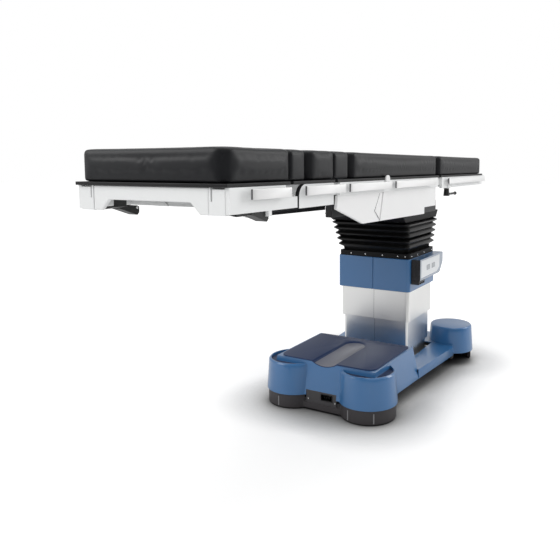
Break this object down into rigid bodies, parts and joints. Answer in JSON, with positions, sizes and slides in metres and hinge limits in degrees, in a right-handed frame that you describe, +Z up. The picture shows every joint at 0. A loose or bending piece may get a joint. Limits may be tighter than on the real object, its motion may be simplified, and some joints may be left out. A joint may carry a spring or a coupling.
{
  "type": "operating table",
  "caption": "Padded operating table with a sectioned tilting top on a telescoping column, side rails for clamps and a wheeled base.",
  "frame": {"origin": "on the floor, under the middle of the whole table", "axes": "+X along the top from the end panel to the far section, +Y across the top, +Z up"},
  "size_m": [2.216, 0.6718, 0.98],
  "materials": {
    "pad": "satin black upholstery",
    "board": "matt black",
    "frame_grey": "light grey powder coat",
    "steel": "brushed",
    "cover_white": "satin white",
    "dark_metal": "dark grey",
    "lever_black": "black moulded",
    "bellows_black": "glossy black",
    "column_steel": "satin",
    "blue": "blue moulded",
    "housing": "dark grey",
    "panel_silver": "silver",
    "key_grey": "matt grey",
    "deck": "slate blue, satin",
    "skirt": "dark grey",
    "foot": "black",
    "chassis": "black",
    "wheel": "grey rubber",
    "socket": "dark grey"
  },
  "bodies": {
    "base": {"base_cover": "blue", "deck_panel": "deck", "base_skirt": "skirt", "foot_pads": "foot", "chassis": "chassis", "inner_column": "column_steel", "socket_panel": "socket", "mains_inlet": "socket"},
    "carrier": {"caster_carrier": "chassis"},
    "middle_stage": {"middle_column": "column_steel"},
    "column_head": {"outer_column": "column_steel", "collar_left": "blue", "collar_right": "blue", "column_cap": "dark_metal", "bellows_strip": "dark_metal", "control_housing": "housing", "housing_bracket": "housing", "key_panel": "panel_silver", "bellows": "bellows_black"},
    "lift_button": {"lift_key": "key_grey"},
    "lower_button": {"lower_key": "key_grey"},
    "cross": {"tilt_cross": "dark_metal"},
    "head": {"tilt_head": "dark_metal", "slide_carriage": "dark_metal"},
    "seat": {"seat_frame": "frame_grey", "slide_rails": "dark_metal", "front_covers": "cover_white", "rear_covers": "cover_white", "index_tabs": "cover_white", "seat_side_rails": "steel", "seat_board": "board", "seat_pad": "pad", "inner_bridge_pad": "pad"},
    "inner_section": {"inner_frame": "frame_grey", "inner_side_rails": "steel", "inner_board": "board", "inner_pad": "pad", "outer_bridge_pad": "pad"},
    "outer_section": {"outer_frame": "frame_grey", "end_panel": "frame_grey", "corner_brackets": "frame_grey", "outer_side_rails": "steel", "outer_board": "board", "outer_pad": "pad"},
    "release_left": {"release_lever_left": "lever_black"},
    "release_right": {"release_lever_right": "lever_black"},
    "far_section": {"far_frame": "frame_grey", "far_side_rails": "steel", "far_board": "board", "far_pad": "pad"},
    "clamp_left": {"clamp_lever_left": "lever_black"},
    "clamp_right": {"clamp_lever_right": "lever_black"},
    "fork_near_left": {"caster_fork_near_left": "steel"},
    "wheels_near_left": {"caster_wheels_near_left": "wheel"},
    "fork_near_right": {"caster_fork_near_right": "steel"},
    "wheels_near_right": {"caster_wheels_near_right": "wheel"},
    "fork_far_left": {"caster_fork_far_left": "steel"},
    "wheels_far_left": {"caster_wheels_far_left": "wheel"},
    "fork_far_right": {"caster_fork_far_right": "steel"},
    "wheels_far_right": {"caster_wheels_far_right": "wheel"}
  },
  "joints": [
    {"name": "lift_lower", "type": "slide", "parent": "base", "child": "middle_stage", "axis": [0, 0, 1], "range_m": [-0.08, 0.1]},
    {"name": "lift_upper", "type": "slide", "parent": "middle_stage", "child": "column_head", "axis": [0, 0, 1], "range_m": [-0.08, 0.1]},
    {"name": "lift_key_press", "type": "slide", "parent": "column_head", "child": "lift_button", "axis": [0, 1, 0], "range_m": [0, 0.0015], "stiffness_N_per_m": 400, "springref_m": -0.001},
    {"name": "lower_key_press", "type": "slide", "parent": "column_head", "child": "lower_button", "axis": [0, 1, 0], "range_m": [0, 0.0015], "stiffness_N_per_m": 400, "springref_m": -0.001},
    {"name": "tilt_along", "type": "hinge", "parent": "column_head", "child": "cross", "pos_m": [0.376, 0, 0.64], "axis": [0, 1, 0], "range_deg": [-20, 20], "deforming": ["bellows"]},
    {"name": "tilt_across", "type": "hinge", "parent": "cross", "child": "head", "pos_m": [0.376, 0, 0.64], "axis": [1, 0, 0], "range_deg": [-20, 20], "deforming": ["bellows"]},
    {"name": "top_slide", "type": "slide", "parent": "head", "child": "seat", "axis": [1, 0, 0], "range_m": [0, 0.22]},
    {"name": "inner_hinge", "type": "hinge", "parent": "seat", "child": "inner_section", "pos_m": [-0.555, 0, 0.868], "axis": [0, 1, 0], "range_deg": [-8, 55], "deforming": ["inner_bridge_pad"]},
    {"name": "outer_hinge", "type": "hinge", "parent": "inner_section", "child": "outer_section", "pos_m": [-0.775, 0, 0.845], "axis": [0, 1, 0], "range_deg": [-30, 20], "deforming": ["outer_bridge_pad"]},
    {"name": "far_hinge", "type": "hinge", "parent": "seat", "child": "far_section", "pos_m": [0.325, 0, 0.868], "axis": [0, -1, 0], "range_deg": [-20, 10]},
    {"name": "release_left_press", "type": "hinge", "parent": "outer_section", "child": "release_left", "pos_m": [-0.939, 0.223, 0.82], "axis": [0, -1, 0], "range_deg": [0, 20], "stiffness_Nm_per_rad": 2, "springref_deg": -11.46},
    {"name": "clamp_left_turn", "type": "hinge", "parent": "far_section", "child": "clamp_left", "pos_m": [0.475, 0.244, 0.81], "axis": [0, 0, 1], "range_deg": [0, 150]},
    {"name": "release_right_press", "type": "hinge", "parent": "outer_section", "child": "release_right", "pos_m": [-0.939, -0.223, 0.82], "axis": [0, -1, 0], "range_deg": [0, 20], "stiffness_Nm_per_rad": 2, "springref_deg": -11.46},
    {"name": "clamp_right_turn", "type": "hinge", "parent": "far_section", "child": "clamp_right", "pos_m": [0.475, -0.244, 0.81], "axis": [0, 0, -1], "range_deg": [0, 150]},
    {"name": "carrier_drop", "type": "slide", "parent": "base", "child": "carrier", "axis": [0, 0, 1], "range_m": [-0.009, 0]},
    {"name": "swivel_near_left", "type": "hinge", "parent": "carrier", "child": "fork_near_left", "pos_m": [-0.174, 0.162, 0.07], "axis": [0, 0, 1], "continuous": true},
    {"name": "roll_near_left", "type": "hinge", "parent": "fork_near_left", "child": "wheels_near_left", "pos_m": [-0.194, 0.162, 0.031], "axis": [0, 1, 0], "continuous": true},
    {"name": "swivel_near_right", "type": "hinge", "parent": "carrier", "child": "fork_near_right", "pos_m": [-0.174, -0.162, 0.07], "axis": [0, 0, 1], "continuous": true},
    {"name": "roll_near_right", "type": "hinge", "parent": "fork_near_right", "child": "wheels_near_right", "pos_m": [-0.194, -0.162, 0.031], "axis": [0, 1, 0], "continuous": true},
    {"name": "swivel_far_left", "type": "hinge", "parent": "carrier", "child": "fork_far_left", "pos_m": [0.624, 0.231, 0.07], "axis": [0, 0, 1], "continuous": true},
    {"name": "roll_far_left", "type": "hinge", "parent": "fork_far_left", "child": "wheels_far_left", "pos_m": [0.604, 0.231, 0.031], "axis": [0, 1, 0], "continuous": true},
    {"name": "swivel_far_right", "type": "hinge", "parent": "carrier", "child": "fork_far_right", "pos_m": [0.624, -0.231, 0.07], "axis": [0, 0, 1], "continuous": true},
    {"name": "roll_far_right", "type": "hinge", "parent": "fork_far_right", "child": "wheels_far_right", "pos_m": [0.604, -0.231, 0.031], "axis": [0, 1, 0], "continuous": true}
  ],
  "couplings": [
    {"joint": "lift_upper", "follows": "lift_lower", "ratio": 1}
  ]
}
